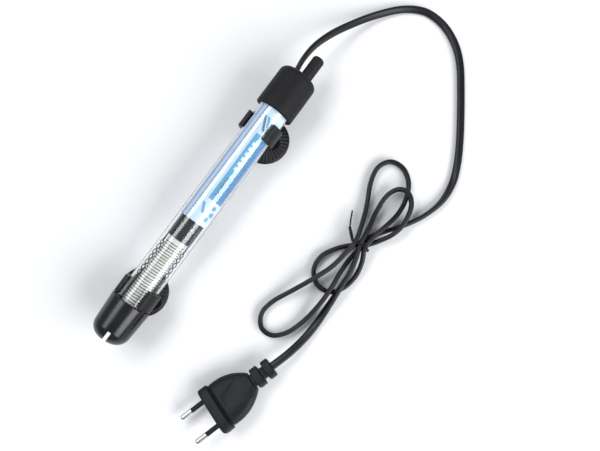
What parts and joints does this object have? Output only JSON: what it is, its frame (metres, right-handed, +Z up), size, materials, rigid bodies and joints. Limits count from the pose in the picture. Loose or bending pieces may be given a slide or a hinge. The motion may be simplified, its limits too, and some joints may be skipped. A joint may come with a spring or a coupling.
{
  "type": "submersible aquarium heater",
  "caption": "Glass-tube aquarium heater with a rubber head cap, temperature knob, slotted end guard, clips on suction cups and a flat cord tied in a hank with a two-pin plug.",
  "frame": {"origin": "middle of the heater's length and width, on the surface that the suction cups' rims rest on", "axes": "+X along the heater from the bottom guard to the knob, +Z up, +Y away from the cord"},
  "size_m": [0.3406, 0.1509, 0.0372],
  "materials": {
    "tube_glass": "clear polished glass",
    "cap_rubber": "matt moulded rubber",
    "seal_rubber": "matt moulded rubber",
    "label_film": "printed film, pale blue with plain blue bars",
    "stopper": "glossy moulded phenolic",
    "former_ceramic": "unglazed cream ceramic",
    "heating_wire": "oxidised resistance wire",
    "frame_plastic": "moulded insulator",
    "spring_brass": "bright",
    "contact_silver": "bright",
    "magnet_iron": "dull",
    "lead_cover": "insulated lead",
    "guard_plastic": "glossy moulded plastic",
    "clip_plastic": "satin moulded plastic",
    "cup_rubber": "satin moulded rubber",
    "knob_rubber": "matt moulded rubber",
    "shaft_steel": "turned steel",
    "blade_metal": "rolled strip",
    "cord_jacket": "satin vinyl jacket",
    "tie_plastic": "plastic-coated wire",
    "plug_rubber": "satin moulded vinyl",
    "pin_nickel": "nickel-plated brass"
  },
  "bodies": {
    "heater": {"glass_tube": "tube_glass", "head_cap": "cap_rubber", "tube_seal": "seal_rubber", "shaft_ring": "seal_rubber", "cord_gland": "cap_rubber", "label_sleeve": "label_film", "element_stopper": "stopper", "ceramic_core": "former_ceramic", "heating_coil": "heating_wire", "end_disc": "former_ceramic", "thermostat_frame": "frame_plastic", "fixed_leaf": "spring_brass", "fixed_contact": "contact_silver", "magnet": "magnet_iron", "leads": "lead_cover", "adjuster_nut": "spring_brass", "cord": "cord_jacket", "twist_tie": "tie_plastic", "plug_body": "plug_rubber", "plug_relief": "plug_rubber", "plug_pins": "pin_nickel", "pin_sleeves": "plug_rubber"},
    "guard": {"end_guard": "guard_plastic"},
    "lower_clip": {"clip_lower": "clip_plastic"},
    "upper_clip": {"clip_upper": "clip_plastic"},
    "lower_cup": {"cup_lower": "cup_rubber"},
    "upper_cup": {"cup_upper": "cup_rubber"},
    "control": {"knob": "knob_rubber", "knob_shaft": "shaft_steel"},
    "blade": {"bimetal_blade": "blade_metal", "moving_contact": "contact_silver"}
  },
  "joints": [
    {"name": "knob_turn", "type": "hinge", "parent": "heater", "child": "control", "pos_m": [0.10875, -0.0036, 0.023], "axis": [1, 0, 0], "range_deg": [-150, 150]},
    {"name": "blade_bend", "type": "hinge", "parent": "heater", "child": "blade", "pos_m": [-0.00575, 0.003, 0.023], "axis": [0, 1, 0], "range_deg": [-0.6, 0.6]},
    {"name": "lower_clip_slide", "type": "slide", "parent": "heater", "child": "lower_clip", "axis": [1, 0, 0], "range_m": [0, 0.045]},
    {"name": "upper_clip_slide", "type": "slide", "parent": "heater", "child": "upper_clip", "axis": [1, 0, 0], "range_m": [-0.045, 0.006]},
    {"name": "lower_cup_turn", "type": "hinge", "parent": "lower_clip", "child": "lower_cup", "pos_m": [-0.08185, 0.0025, 0.009], "axis": [0, 0, 1], "continuous": true},
    {"name": "upper_cup_turn", "type": "hinge", "parent": "upper_clip", "child": "upper_cup", "pos_m": [0.05365, -0.0025, 0.009], "axis": [0, 0, 1], "continuous": true},
    {"name": "guard_pull", "type": "slide", "parent": "heater", "child": "guard", "axis": [-1, 0, 0], "range_m": [0, 0.03]}
  ]
}
